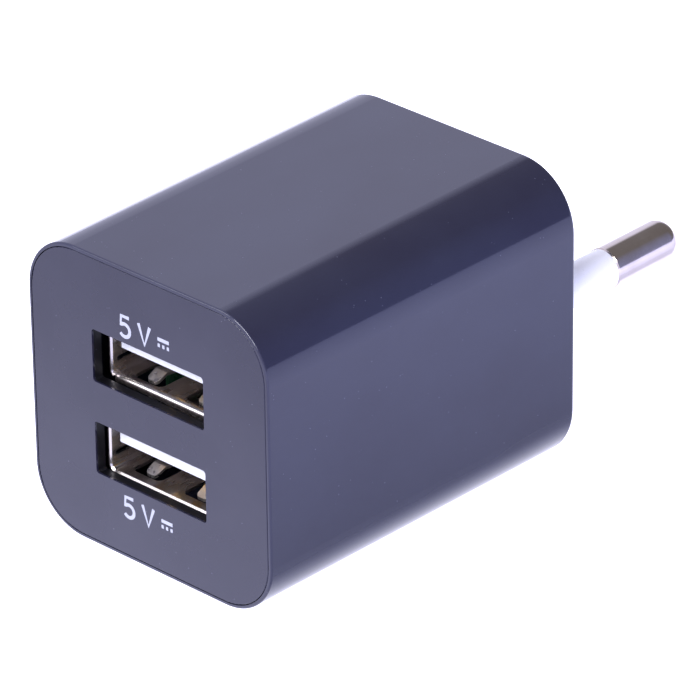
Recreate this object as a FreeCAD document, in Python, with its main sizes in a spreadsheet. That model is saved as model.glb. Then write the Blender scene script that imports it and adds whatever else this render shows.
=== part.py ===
import FreeCAD, Part
import math
import os
import re
import Sketcher

# Twin-port USB wall charger with two round mains pins, in millimetres.
#
# The origin is the centre of the rear face, which meets the wall socket. +Y points along
# the pins into the wall, the USB ports face -Y, +Z is up, and +X is on the right of
# somebody who looks at the ports. A "depth" below is a distance from the rear face
# towards the ports, so it is -Y.
#
# The housing's sides are drafted, so "body_width" is its width at the front.

SIZES = {
    # moulded housing, a tub that opens at the front
    "body_width": 29.0,
    "body_depth": 39.0,
    "corner_radius": 5.7,
    "draft_angle": 0.462,
    "wall": 1.8,
    "rear_wall": 2.0,
    "rear_edge_radius": 0.5,
    "rim_width": 0.35,
    "rim_edge_radius": 0.2,
    "boss_radius": 3.3,
    "boss_height": 1.2,
    "rib_reach": 1.4,
    "rib_thickness": 0.8,
    "top_rib_height": 6.0,
    # front plate with its collar and the four posts that clamp the USB board
    "plate_thickness": 1.15,
    "plate_gap": 0.07,
    "plate_edge_radius": 0.08,
    "collar_gap": 0.1,
    "collar_wall": 1.0,
    "collar_length": 2.4,
    "post_radius": 1.2,
    "post_offset": 10.0,
    "port_width": 13.5,
    "port_height": 5.15,
    "port_corner": 0.3,
    "port_pitch": 9.14,
    "port_inset": 1.85,
    "lower_port_standoff": 0.52,
    # mains pins and their insulating sleeves
    "pin_spacing": 18.6,
    "pin_drop": 0.43,
    "pin_radius": 2.0,
    "pin_length": 19.0,
    "pin_end_radius": 1.6,
    "pin_core_radius": 1.5,
    "pin_shoulder": 0.15,
    "pin_flange_radius": 2.6,
    "pin_flange_thickness": 0.8,
    "pin_tail": 1.5,
    "sleeve_root_radius": 2.0,
    "sleeve_end_radius": 1.92,
    "sleeve_length": 10.0,
    "blade_width": 3.0,
    "blade_thickness": 0.4,
    "blade_foot": 2.6,
    "blade_rise": 9.2,
    # steel shell of a receptacle: inner sizes, then its windows, slots and legs
    "shell_width": 12.5,
    "shell_height": 5.12,
    "shell_wall": 0.3,
    "shell_corner": 0.5,
    "shell_length": 12.0,
    "mouth_bevel": 0.15,
    "lip_radius": 0.52,
    "lip_inset": 0.85,
    "window_pitch": 6.2,
    "window_width": 3.4,
    "window_corner": 0.6,
    "window_inset": 1.1,
    "window_length": 7.31,
    "side_slot_inset": 0.65,
    "side_slot_length": 4.0,
    "side_slot_height": 0.45,
    "side_slot_corner": 0.18,
    "side_slot_drop": 1.2,
    "leg_height": 2.0,
    "leg_length": 2.0,
    # spring tab in a window of the shell's floor
    "tab_root_width": 2.0,
    "tab_tip_width": 1.3,
    "tab_tip_radius": 0.4,
    "tab_length": 6.5,
    "tab_tip_gap": 0.6,
    "tab_crest_inset": 1.2,
    "tab_crest_height": 0.45,
    "tab_tip_drop": 0.1,
    "tab_thickness": 0.3,
    "tab_blank_height": 2.0,
    "root_clearance": 0.06,
    # white insulator with its tongue
    "tongue_width": 11.3,
    "tongue_thickness": 1.84,
    "tongue_inset": 2.4,
    "tongue_low": 0.1,
    "tongue_edge": 0.15,
    "block_length": 2.35,
    "block_clearance": 0.1,
    "groove_width": 1.3,
    "groove_depth": 0.95,
    "groove_stop": 0.7,
    # contact beams under the tongue and their tails through the board
    "contact_width": 1.0,
    "contact_thickness": 0.2,
    "contact_outer": 3.5,
    "contact_inner": 1.0,
    "contact_root": 0.35,
    "contact_crest": 0.45,
    "contact_length": 7.8,
    "contact_crest_near": 5.5,
    "contact_crest_far": 6.2,
    "contact_tip": 0.25,
    "contact_tip_gap": 0.4,
    "tail_protrusion": 0.8,
    # circuit boards
    "board_thickness": 1.2,
    "board_top": -7.7,
    "board_half_width": 11.6,
    "board_rear": 2.4,
    "usb_board_half": 11.9,
    "usb_board_corner": 3.4,
    "board_tab_width": 3.0,
    "board_tab_pitch": 7.0,
    "board_tab_reach": 0.5,
    "solder_leg": 0.8,
    "slot_clearance": 0.05,
    # leads and solder
    "lead_radius": 0.3,
    "lead_reach": 0.8,
    "solder_height": 0.7,
    "solder_base": 0.6,
    "solder_tip": 0.4,
    # transformer
    "transformer_x": 3.4,
    "transformer_y": -11.6,
    "core_width": 12.8,
    "core_thickness": 6.0,
    "core_height": 12.0,
    "core_lift": 0.3,
    "core_yoke": 2.6,
    "core_outer_leg": 1.6,
    "core_middle_leg": 2.8,
    "bobbin_width": 9.4,
    "bobbin_depth": 10.4,
    "bobbin_wall": 0.6,
    "bobbin_clearance": 0.05,
    "bobbin_foot": 2.0,
    "winding_inset": 0.2,
    "transformer_pin_pitch": 3.0,
    # capacitors
    "mains_capacitor_radius": 4.0,
    "mains_capacitor_height": 12.0,
    "mains_capacitor_x": -7.2,
    "rear_mains_capacitor_y": -10.3,
    "front_mains_capacitor_y": -19.0,
    "mains_lead_pitch": 3.5,
    "output_capacitor_radius": 3.15,
    "output_capacitor_height": 8.0,
    "output_capacitor_y": -20.1,
    "left_output_capacitor_x": 0.2,
    "right_output_capacitor_x": 7.0,
    "output_lead_pitch": 2.5,
    "can_edge_radius": 0.5,
    "can_groove_radius": 0.35,
    "can_groove_height": 1.6,
    "safety_capacitor_x": 11.0,
    "safety_capacitor_y": -11.6,
    "safety_capacitor_radius": 3.4,
    "safety_capacitor_thickness": 2.2,
    "safety_capacitor_edge": 0.8,
    "safety_capacitor_lift": 1.6,
    "safety_lead_pitch": 5.0,
    "safety_lead_x": 10.65,
    # upright resistor and choke by the rear wall
    "axial_y": -4.3,
    "axial_lift": 0.8,
    "resistor_x": -0.8,
    "resistor_radius": 1.4,
    "resistor_length": 6.0,
    "resistor_lead_offset": 2.3,
    "choke_x": 4.0,
    "choke_radius": 1.8,
    "choke_length": 7.5,
    "choke_lead_offset": 2.5,
    "axial_edge_radius": 0.6,
    # parts under the main board
    "bridge_x": -7.2,
    "bridge_y": -14.6,
    "bridge_length": 4.7,
    "bridge_width": 3.8,
    "bridge_height": 2.4,
    "controller_length": 4.9,
    "controller_width": 3.9,
    "controller_height": 1.5,
    "diode_x": 3.5,
    "diode_y": -17.95,
    "diode_length": 4.3,
    "diode_width": 2.4,
    "diode_height": 2.2,
    "chip_lead_width": 0.45,
    "chip_lead_length": 0.9,
    "chip_lead_thickness": 0.2,
    "chip_lead_pitch": 1.27,
    "passive_length": 1.6,
    "passive_width": 0.8,
    "passive_height": 0.45,
    "ceramic_length": 2.0,
    "ceramic_width": 1.2,
    "ceramic_height": 0.9,
    # charge controller on the USB board, and the sheet under the main board
    "charge_chip_width": 2.9,
    "charge_chip_height": 1.6,
    "charge_chip_thickness": 1.1,
    "charge_chip_z": 9.3,
    "sheet_width": 16.5,
    "sheet_length": 20.0,
    "sheet_thickness": 0.3,
    "sheet_gap": 1.0,
}

# Sizes that follow from the ones above.
DERIVED = {
    "cavity_half": "body_width / 2 - wall",
    "cavity_corner": "corner_radius - wall",
    "plate_back": "body_depth - plate_thickness",
    "shell_front": "body_depth - port_inset",
    "usb_board_front": "shell_front - shell_length",
    "usb_board_rear": "usb_board_front - board_thickness",
    "tongue_front": "body_depth - tongue_inset",
    "pin_seat": "rear_wall + boss_height",
    "pin_inner_end": "pin_seat + pin_flange_thickness + pin_tail",
    "floor_height": "-shell_height / 2",
    "cut_through": "3 * shell_wall",
    "tab_tip": "shell_front - window_inset - tab_tip_gap",
    "tab_root": "tab_tip - tab_length",
    "contact_root_depth": "tongue_front - groove_stop - contact_tip_gap - contact_length",
    "board_bottom": "board_top - board_thickness",
    "core_bottom": "board_top + core_lift",
    "window_bottom": "core_bottom + core_yoke",
    "core_window": "core_height - 2 * core_yoke",
}

# Places (x, y) of the small chip parts, in the strips that the larger parts leave free.
RESISTOR_PLACES = [
    (-2.6, -8.6),
    (-2.6, -10.1),
    (-2.6, -11.6),
    (-2.6, -13.1),
    (8.3, -10.6),
    (8.3, -12.6),
]
CERAMIC_PLACES = [
    (-2.6, -15.0),
    (-2.6, -17.2),
    (8.6, -17.6),
    (-6.9, -6.9),
]

# Two places closer than this are the same.
TOLERANCE = 1e-4

doc = FreeCAD.newDocument("usb_wall_charger")
sheet = doc.addObject("Spreadsheet::Sheet", "Sizes")
for row, (size_name, size_value) in enumerate(SIZES.items(), start=1):
    sheet.set("A%d" % row, size_name)
    sheet.set("B%d" % row, str(size_value))
    sheet.setAlias("B%d" % row, size_name)
doc.recompute()


# ---- formulas -------------------------------------------------------------------------

def formula(text):
    """Turn the size names of a formula into references to the sheet."""

    def replace(match):
        word = match.group()
        if word in SIZES:
            return "Sizes." + word
        if word in DERIVED:
            return "(" + formula(DERIVED[word]) + ")"
        return word

    return re.sub(r"[a-z][a-z_]*", replace, str(text))


def value(text):
    """The number that a formula gives with the sheet's sizes."""
    return float(sheet.evalExpression(formula(text)))


def bind(thing, formulas):
    """Bind properties of an object to formulas."""
    for path, text in formulas.items():
        thing.setExpression(path, formula(text))


def place(thing, x=0, y=0, z=0, turn=None):
    """Bind an object's position, after an optional turn."""
    if turn is not None:
        thing.Placement = FreeCAD.Placement(FreeCAD.Vector(0, 0, 0), turn)
    bind(thing, {"Placement.Base.x": x, "Placement.Base.y": y, "Placement.Base.z": z})
    return thing


# ---- Part primitives and booleans -----------------------------------------------------

def box(name, corner, size):
    """A block from its lowest corner and its lengths along X, Y and Z."""
    block = doc.addObject("Part::Box", name)
    bind(block, {"Length": size[0], "Width": size[1], "Height": size[2]})
    return place(block, *corner)


def rod(name, foot, radius, length):
    """An upright cylinder from the centre of its lower end."""
    cylinder = doc.addObject("Part::Cylinder", name)
    bind(cylinder, {"Radius": radius, "Height": length})
    return place(cylinder, *foot)


def group(name, solids):
    """Several separate solids in one object."""
    compound = doc.addObject("Part::Compound", name)
    compound.Links = solids
    return compound


def fuse(name, shapes):
    joined = doc.addObject("Part::MultiFuse", name)
    joined.Shapes = shapes
    return joined


def cut(name, base, tools):
    result = doc.addObject("Part::Cut", name)
    result.Base = base
    result.Tool = tools[0] if len(tools) == 1 else fuse(name + "_tools", tools)
    return result


def common(name, first, second):
    result = doc.addObject("Part::Common", name)
    result.Base = first
    result.Tool = second
    return result


# ---- PartDesign sketches and features -------------------------------------------------

def new_body(name):
    return doc.addObject("PartDesign::Body", name)


def sketch_on(body, role, x=0, y=0, offset=0):
    """A sketch on one of the body's own origin planes, moved within it and along its normal.

    The normal of XY_Plane is +Z and of YZ_Plane +X. The normal of XZ_Plane is -Y, so an
    offset there is a depth.
    """
    sketch = body.newObject("Sketcher::SketchObject", body.Name + "_sketch")
    plane = [feature for feature in body.Origin.OriginFeatures if feature.Role == role][0]
    sketch.AttachmentSupport = [(plane, "")]
    sketch.MapMode = "FlatFace"
    bind(sketch, {
        "AttachmentOffset.Base.x": x,
        "AttachmentOffset.Base.y": y,
        "AttachmentOffset.Base.z": offset,
    })
    return sketch


def constrain(sketch, constraint, text=None):
    """Add a constraint, and bind its number to a formula if there is one."""
    index = sketch.addConstraint(constraint)
    if text is not None:
        sketch.setExpression("Constraints[%d]" % index, formula(text))


def draw_circle(sketch, radius):
    """A circle about the sketch's origin."""
    circle = Part.Circle(FreeCAD.Vector(0, 0, 0), FreeCAD.Vector(0, 0, 1), value(radius))
    index = sketch.addGeometry(circle, False)
    constrain(sketch, Sketcher.Constraint("Coincident", index, 3, -1, 1))
    constrain(sketch, Sketcher.Constraint("Radius", index, value(radius)), radius)


def draw_polygon(sketch, points):
    """A closed outline of straight lines through points given as pairs of formulas."""
    corners = [FreeCAD.Vector(value(x), value(y), 0) for x, y in points]
    first = sketch.GeometryCount
    count = len(corners)
    for number, corner in enumerate(corners):
        sketch.addGeometry(Part.LineSegment(corner, corners[(number + 1) % count]), False)
    for number in range(count):
        following = first + (number + 1) % count
        constrain(sketch, Sketcher.Constraint("Coincident", first + number, 2, following, 1))
    for number, (x, y) in enumerate(points):
        line = first + number
        constrain(sketch, Sketcher.Constraint("DistanceX", line, 1, corners[number].x), x)
        constrain(sketch, Sketcher.Constraint("DistanceY", line, 1, corners[number].y), y)


def draw_rectangle(sketch, left, bottom, right, top):
    draw_polygon(sketch, [(left, bottom), (right, bottom), (right, top), (left, top)])


def draw_rounded_rectangle(sketch, width, height, radius):
    """A rectangle about the sketch's origin whose corners are arcs."""
    r = value(radius)
    across = value(width) / 2
    up = value(height) / 2
    first = sketch.GeometryCount
    quarter = math.pi / 2
    corners = [(across - r, up - r), (r - across, up - r), (r - across, r - up), (across - r, r - up)]
    normal = FreeCAD.Vector(0, 0, 1)
    for number, (x, y) in enumerate(corners):
        circle = Part.Circle(FreeCAD.Vector(x, y, 0), normal, r)
        arc = Part.ArcOfCircle(circle, number * quarter, (number + 1) * quarter)
        sketch.addGeometry(arc, False)
    for number in range(4):
        end = sketch.getPoint(first + number, 2)
        start = sketch.getPoint(first + (number + 1) % 4, 1)
        sketch.addGeometry(Part.LineSegment(end, start), False)
    for number in range(4):
        line = first + 4 + number
        constrain(sketch, Sketcher.Constraint("Tangent", first + number, 2, line, 1))
        constrain(sketch, Sketcher.Constraint("Tangent", line, 2, first + (number + 1) % 4, 1))
    constrain(sketch, Sketcher.Constraint("Horizontal", first + 4))
    constrain(sketch, Sketcher.Constraint("Vertical", first + 5))
    for number in range(1, 4):
        constrain(sketch, Sketcher.Constraint("Equal", first, first + number))
    constrain(sketch, Sketcher.Constraint("Symmetric", first, 3, first + 2, 3, -1, 1))
    constrain(sketch, Sketcher.Constraint("Radius", first, r), radius)
    span = "(%s) - 2 * (%s)"
    constrain(sketch, Sketcher.Constraint("DistanceX", first + 1, 3, first, 3, 2 * (across - r)),
              span % (width, radius))
    constrain(sketch, Sketcher.Constraint("DistanceY", first + 3, 3, first, 3, 2 * (up - r)),
              span % (height, radius))


def pad(body, sketch, length, symmetric=False, backwards=False, spread=0):
    """Raise a sketch along its normal, or both ways, or backwards with sides that spread."""
    feature = body.newObject("PartDesign::Pad", body.Name + "_pad")
    feature.Profile = sketch
    bind(feature, {"Length": length, "TaperAngle": spread})
    if symmetric:
        feature.SideType = "Symmetric"
    feature.Reversed = backwards
    doc.recompute()
    return feature


def pocket(body, sketch, length, along_normal=False):
    """Cut against the sketch's normal, or along it, and make sure that something went."""
    before = body.Shape.Volume
    feature = body.newObject("PartDesign::Pocket", body.Name + "_pocket")
    feature.Profile = sketch
    feature.Reversed = along_normal
    bind(feature, {"Length": length})
    doc.recompute()
    if body.Shape.Volume > before - TOLERANCE:
        raise RuntimeError("a pocket of %s cuts nothing" % body.Name)
    return feature


def revolve(body, sketch):
    """Turn a sketch right round its own vertical axis."""
    feature = body.newObject("PartDesign::Revolution", body.Name + "_revolution")
    feature.Profile = sketch
    feature.ReferenceAxis = (sketch, ["V_Axis"])
    feature.Angle = 360
    doc.recompute()
    return feature


def edges_at(shape, axis, place_text):
    """Names of the edges that lie at one place along an axis."""
    wanted = value(place_text)
    names = []
    for number, edge in enumerate(shape.Edges, start=1):
        limits = edge.BoundBox
        low = getattr(limits, axis + "Min")
        high = getattr(limits, axis + "Max")
        if abs(low - wanted) < TOLERANCE and abs(high - wanted) < TOLERANCE:
            names.append("Edge%d" % number)
    return names


def is_upright(edge):
    limits = edge.BoundBox
    return limits.XLength < TOLERANCE and limits.ZLength > TOLERANCE


def round_edges(body, axis, place_text, radius, upright_only=False):
    """Fillet the edges of the body's latest feature at one place along an axis."""
    latest = body.Tip
    names = edges_at(latest.Shape, axis, place_text)
    if upright_only:
        names = [name for name in names if is_upright(latest.Shape.getElement(name))]
    feature = body.newObject("PartDesign::Fillet", body.Name + "_fillet")
    feature.Base = (latest, names)
    bind(feature, {"Radius": radius})
    doc.recompute()
    return feature


# ---- housing and front plate ----------------------------------------------------------

def make_housing_shell():
    """Drafted tub with ribs that hold the boards and a bored boss behind each pin."""
    body = new_body("housing_shell")
    outline = sketch_on(body, "XZ_Plane", offset="body_depth")
    draw_rounded_rectangle(outline, "body_width", "body_width", "corner_radius")
    pad(body, outline, "body_depth", backwards=True, spread="draft_angle")
    round_edges(body, "Y", "0", "rear_edge_radius")
    round_edges(body, "Y", "-body_depth", "rim_edge_radius")

    cavity = sketch_on(body, "XZ_Plane", offset="body_depth")
    draw_rounded_rectangle(cavity, "2 * cavity_half", "2 * cavity_half", "cavity_corner")
    pocket(body, cavity, "body_depth - rear_wall")
    seat = sketch_on(body, "XZ_Plane", offset="body_depth")
    seat_width = "body_width - 2 * rim_width"
    draw_rounded_rectangle(seat, seat_width, seat_width, "corner_radius - rim_width")
    pocket(body, seat, "plate_thickness")

    ribs = [
        ("board_top", "board_top + rib_thickness"),
        ("board_bottom - rib_thickness", "board_bottom"),
        ("top_rib_height", "top_rib_height + rib_thickness"),
    ]
    for side in (-1, 1):
        inner = "%d * (cavity_half - rib_reach)" % side
        outer = "%d * (cavity_half + wall / 2)" % side
        left, right = (outer, inner) if side < 0 else (inner, outer)
        for bottom, top in ribs:
            rib = sketch_on(body, "XZ_Plane", offset="rear_wall")
            draw_rectangle(rib, left, bottom, right, top)
            pad(body, rib, "usb_board_rear - rear_wall")
        boss = sketch_on(body, "XZ_Plane", x="%d * pin_spacing / 2" % side, y="-pin_drop",
                         offset="rear_wall")
        draw_circle(boss, "boss_radius")
        pad(body, boss, "boss_height")
        bore = sketch_on(body, "XZ_Plane", x="%d * pin_spacing / 2" % side, y="-pin_drop",
                         offset="pin_seat")
        draw_circle(bore, "sleeve_root_radius")
        pocket(body, bore, "pin_seat")
    return body


def make_front_plate():
    """Plate with the two port openings, a collar and four posts."""
    body = new_body("front_plate")
    plate_width = "body_width - 2 * rim_width - 2 * plate_gap"
    outline = sketch_on(body, "XZ_Plane", offset="plate_back")
    draw_rounded_rectangle(outline, plate_width, plate_width, "corner_radius - rim_width - plate_gap")
    pad(body, outline, "plate_thickness")
    round_edges(body, "Y", "-body_depth", "plate_edge_radius")

    collar = sketch_on(body, "XZ_Plane", offset="plate_back - collar_length")
    outer = "2 * (cavity_half - collar_gap)"
    inner = "2 * (cavity_half - collar_gap - collar_wall)"
    draw_rounded_rectangle(collar, outer, outer, "cavity_corner - collar_gap")
    draw_rounded_rectangle(collar, inner, inner, "cavity_corner - collar_gap - collar_wall")
    pad(body, collar, "collar_length")

    for side in (-1, 1):
        opening = sketch_on(body, "XZ_Plane", y="%d * port_pitch / 2" % side, offset="body_depth")
        draw_rounded_rectangle(opening, "port_width", "port_height", "port_corner")
        pocket(body, opening, "plate_thickness")

    post = sketch_on(body, "XZ_Plane", x="post_offset", y="post_offset", offset="usb_board_front")
    draw_circle(post, "post_radius")
    post_pad = pad(body, post, "plate_back - usb_board_front")
    pattern = body.newObject("PartDesign::PolarPattern", "front_plate_posts")
    pattern.Originals = [post_pad]
    pattern.Axis = (outline, ["N_Axis"])
    pattern.Angle = 360
    pattern.Occurrences = 4
    body.Tip = pattern
    doc.recompute()
    return body


# ---- mains pins -----------------------------------------------------------------------

def make_pin(side_name, side):
    """Turned pin: rounded bare tip, slimmer core in the sleeve, flange and tail inside."""
    body = new_body(side_name + "_pin")
    profile = sketch_on(body, "XY_Plane")
    flange_end = "-(pin_seat + pin_flange_thickness)"
    draw_polygon(profile, [
        ("0", "-pin_inner_end"),
        ("pin_core_radius", "-pin_inner_end"),
        ("pin_core_radius", flange_end),
        ("pin_flange_radius", flange_end),
        ("pin_flange_radius", "-pin_seat"),
        ("pin_core_radius", "-pin_seat"),
        ("pin_core_radius", "sleeve_length"),
        ("pin_radius - pin_shoulder", "sleeve_length"),
        ("pin_radius", "sleeve_length + pin_shoulder"),
        ("pin_radius", "pin_length"),
        ("0", "pin_length"),
    ])
    revolve(body, profile)
    round_edges(body, "Y", "pin_length", "pin_end_radius")
    return place(body, x="%d * pin_spacing / 2" % side, z="-pin_drop")


def make_pin_sleeve(side_name, side):
    """Insulating tube: a straight seat in the boss, then a slight taper out to the bare tip."""
    body = new_body(side_name + "_pin_sleeve")
    profile = sketch_on(body, "XY_Plane")
    draw_polygon(profile, [
        ("pin_core_radius", "-pin_seat"),
        ("sleeve_root_radius", "-pin_seat"),
        ("sleeve_root_radius", "0"),
        ("sleeve_end_radius", "sleeve_length"),
        ("pin_core_radius", "sleeve_length"),
    ])
    revolve(body, profile)
    return place(body, x="%d * pin_spacing / 2" % side, z="-pin_drop")


def make_pin_contact(side_name, side):
    """Brass blade that stands on the main board and presses on the pin's inner end."""
    name = side_name + "_pin_contact"
    left = "%d * pin_spacing / 2 - blade_width / 2" % side
    back = "-pin_inner_end - blade_thickness"
    blade = box(name + "_blade", (left, back, "board_top"),
                ("blade_width", "blade_thickness", "blade_rise"))
    foot = box(name + "_foot", (left, back, "board_top"),
               ("blade_width", "blade_foot", "blade_thickness"))
    return fuse(name, [blade, foot])


# ---- USB receptacles, modelled about their own centre line ----------------------------

def make_port_shell(name):
    """Folded steel shell with two floor windows, side slots, bevelled mouth and legs."""
    body = new_body(name)
    outside = sketch_on(body, "XZ_Plane", offset="usb_board_front")
    draw_rounded_rectangle(outside, "shell_width + 2 * shell_wall", "shell_height + 2 * shell_wall",
                           "shell_corner + shell_wall")
    pad(body, outside, "shell_length")
    inside = sketch_on(body, "XZ_Plane", offset="shell_front")
    draw_rounded_rectangle(inside, "shell_width", "shell_height", "shell_corner")
    pocket(body, inside, "shell_length")

    bevel_mouth(body)
    for side in (-1, 1):
        window = sketch_on(body, "XY_Plane", x="%d * window_pitch / 2" % side,
                           y="-(shell_front - window_inset - window_length / 2)",
                           offset="floor_height + shell_wall")
        draw_rounded_rectangle(window, "window_width", "window_length", "window_corner")
        pocket(body, window, "cut_through")
        slot = sketch_on(body, "YZ_Plane", y="-side_slot_drop",
                         x="-(shell_front - side_slot_inset - side_slot_length / 2)",
                         offset="%d * (shell_width / 2 - shell_wall)" % side)
        draw_rounded_rectangle(slot, "side_slot_length", "side_slot_height", "side_slot_corner")
        pocket(body, slot, "cut_through", along_normal=side > 0)
        leg = sketch_on(body, "XZ_Plane", x="%d * (shell_width + shell_wall) / 2" % side,
                        offset="usb_board_front - leg_length")
        draw_rectangle(leg, "-shell_wall / 2", "-leg_height / 2", "shell_wall / 2", "leg_height / 2")
        pad(body, leg, "leg_length")
    return body


def bevel_mouth(body):
    """Bevel the inner front edge, so that a plug is led in."""
    tube = body.Tip
    half_width = value("shell_width / 2")
    half_height = value("shell_height / 2")
    inner_edges = []
    for name in edges_at(tube.Shape, "Y", "-shell_front"):
        limits = tube.Shape.getElement(name).BoundBox
        reach_x = max(-limits.XMin, limits.XMax)
        reach_z = max(-limits.ZMin, limits.ZMax)
        if reach_x < half_width + TOLERANCE and reach_z < half_height + TOLERANCE:
            inner_edges.append(name)
    mouth = body.newObject("PartDesign::Chamfer", body.Name + "_mouth")
    mouth.Base = (tube, inner_edges)
    bind(mouth, {"Size": "mouth_bevel"})
    doc.recompute()


def make_rolled_port_shell(name):
    """A shell whose floor ends early, in an edge rolled down for the plug to slide over."""
    tube = make_port_shell(name + "_tube")
    lip_y = "-(shell_front - lip_inset)"
    front = box(name + "_floor_front",
                ("-shell_width / 2", "-shell_front", "floor_height - 2 * shell_wall"),
                ("shell_width", "lip_inset", "2 * shell_wall + shell_corner"))
    roll = doc.addObject("Part::Cylinder", name + "_roll")
    bind(roll, {"Radius": "lip_radius", "Height": "shell_width"})
    place(roll, "-shell_width / 2", lip_y, "floor_height - lip_radius",
          turn=FreeCAD.Rotation(FreeCAD.Vector(0, 1, 0), 90))
    return fuse(name, [cut(name + "_trimmed", tube, [front]), roll])


def make_port_tongue(name):
    """White insulator: a block that fills the shell's rear and a grooved tongue."""
    body = new_body(name)
    tongue = sketch_on(body, "XZ_Plane", offset="usb_board_front")
    draw_rectangle(tongue, "-tongue_width / 2", "tongue_low", "tongue_width / 2",
                   "tongue_low + tongue_thickness")
    pad(body, tongue, "tongue_front - usb_board_front")
    round_edges(body, "Y", "-tongue_front", "tongue_edge")
    block = sketch_on(body, "XZ_Plane", offset="usb_board_front")
    draw_rounded_rectangle(block, "shell_width - 2 * block_clearance",
                           "shell_height - 2 * block_clearance", "shell_corner")
    pad(body, block, "block_length")
    for x in contact_places():
        groove = sketch_on(body, "XY_Plane", x=x, offset="tongue_low")
        draw_rectangle(groove, "-groove_width / 2", "-(tongue_front - groove_stop)",
                       "groove_width / 2", "-usb_board_front")
        pocket(body, groove, "groove_depth", along_normal=True)
    return body


def contact_places():
    """The four contacts' places across a port."""
    return ["-contact_outer", "-contact_inner", "contact_inner", "contact_outer"]


def make_bent_strip(name, lower_line, thickness, width):
    """A strip bent along a line seen from the side, with a round root to pivot on.

    The line's points are pairs of a depth and a height, the root first.
    """
    body = new_body(name)
    profile = sketch_on(body, "YZ_Plane")
    lower = [("-(%s)" % depth, height) for depth, height in lower_line]
    upper = [(y, "(%s) + (%s)" % (height, thickness)) for y, height in reversed(lower)]
    draw_polygon(profile, lower + upper)
    pad(body, profile, width, symmetric=True)
    root_y, root_height = lower[0]
    root = sketch_on(body, "YZ_Plane", x=root_y, y="(%s) + (%s) / 2" % (root_height, thickness))
    draw_circle(root, "(%s) / 2" % thickness)
    pad(body, root, width, symmetric=True)
    return body


def make_spring_tabs(name):
    """Two tapered tabs that rise through the floor windows and push on a plug."""
    tabs = []
    for number, side in enumerate((-1, 1), start=1):
        line = [
            ("tab_root", "floor_height - tab_thickness"),
            ("tab_tip - tab_crest_inset", "floor_height - tab_thickness + tab_crest_height"),
            ("tab_tip", "floor_height - tab_thickness - tab_tip_drop"),
        ]
        strip = make_bent_strip("%s_strip_%d" % (name, number), line, "tab_thickness",
                                "tab_root_width")
        plan = new_body("%s_plan_%d" % (name, number))
        outline = sketch_on(plan, "XY_Plane", offset="floor_height - tab_blank_height / 2")
        draw_polygon(outline, [
            ("-tab_tip_width / 2", "-tab_tip"),
            ("tab_tip_width / 2", "-tab_tip"),
            ("tab_root_width / 2", "-tab_root"),
            ("tab_root_width / 2", "-tab_root + tab_thickness"),
            ("-tab_root_width / 2", "-tab_root + tab_thickness"),
            ("-tab_root_width / 2", "-tab_root"),
        ])
        pad(plan, outline, "tab_blank_height")
        round_edges(plan, "Y", "-tab_tip", "tab_tip_radius", upright_only=True)
        tab = common("%s_%d" % (name, number), strip, plan)
        tabs.append(place(tab, x="%d * window_pitch / 2" % side))
    return group(name, tabs)


def make_contact_beams(name):
    """Four sprung strips that bow down from the tongue's grooves."""
    beams = []
    line = [
        ("contact_root_depth", "tongue_low + contact_root"),
        ("contact_root_depth + contact_crest_near", "tongue_low - contact_crest"),
        ("contact_root_depth + contact_crest_far", "tongue_low - contact_crest"),
        ("contact_root_depth + contact_length", "tongue_low + contact_tip"),
    ]
    for number, x in enumerate(contact_places(), start=1):
        beam = make_bent_strip("%s_%d" % (name, number), line, "contact_thickness", "contact_width")
        beams.append(place(beam, x=x))
    return group(name, beams)


def make_contact_tails(name):
    """The contacts' fixed ends, through the insulator's block and the USB board."""
    tails = []
    back = "usb_board_rear - tail_protrusion"
    for number, x in enumerate(contact_places(), start=1):
        tails.append(box(
            "%s_%d" % (name, number),
            ("%s - contact_width / 2" % x,
             "-(contact_root_depth - contact_thickness / 2 - root_clearance)",
             "tongue_low + contact_root"),
            ("contact_width",
             "contact_root_depth - contact_thickness / 2 - root_clearance - (%s)" % back,
             "contact_thickness")))
    return group(name, tails)


def make_receptacle(port, side, make_shell, standoff):
    """All the pieces of one receptacle, at its height and its distance from the USB board."""
    nodes = [
        make_shell(port + "_port_shell"),
        make_spring_tabs(port + "_port_spring_tabs"),
        make_port_tongue(port + "_port_tongue"),
        make_contact_beams(port + "_port_contact_beams"),
        make_contact_tails(port + "_port_contact_tails"),
    ]
    for node in nodes:
        place(node, y="-(%s)" % standoff, z="%d * port_pitch / 2" % side)
    return nodes


# ---- circuit boards -------------------------------------------------------------------

def cut_slot(body, x, height, width, tall):
    """A slot through the USB board, a little larger than what goes through it."""
    slot = sketch_on(body, "XZ_Plane", x=x, y=height, offset="usb_board_front")
    half_width = "(%s) / 2 + slot_clearance" % width
    half_height = "(%s) / 2 + slot_clearance" % tall
    draw_rectangle(slot, "-(%s)" % half_width, "-(%s)" % half_height, half_width, half_height)
    pocket(body, slot, "board_thickness")


def make_usb_board():
    """Upright board behind the receptacles, slotted for their legs, tails and the main board."""
    body = new_body("usb_board")
    outline = sketch_on(body, "XZ_Plane", offset="usb_board_rear")
    draw_rounded_rectangle(outline, "2 * usb_board_half", "2 * usb_board_half", "usb_board_corner")
    pad(body, outline, "board_thickness")
    for side in (-1, 1):
        centre = "%d * port_pitch / 2" % side
        tail_height = "%s + tongue_low + contact_root + contact_thickness / 2" % centre
        for x in contact_places():
            cut_slot(body, x, tail_height, "contact_width", "contact_thickness")
        for leg_side in (-1, 1):
            leg_x = "%d * (shell_width + shell_wall) / 2" % leg_side
            cut_slot(body, leg_x, centre, "shell_wall", "leg_height")
    for column in (-1, 0, 1):
        cut_slot(body, "%d * board_tab_pitch" % column, "board_top - board_thickness / 2",
                 "board_tab_width", "board_thickness")
    return body


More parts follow.
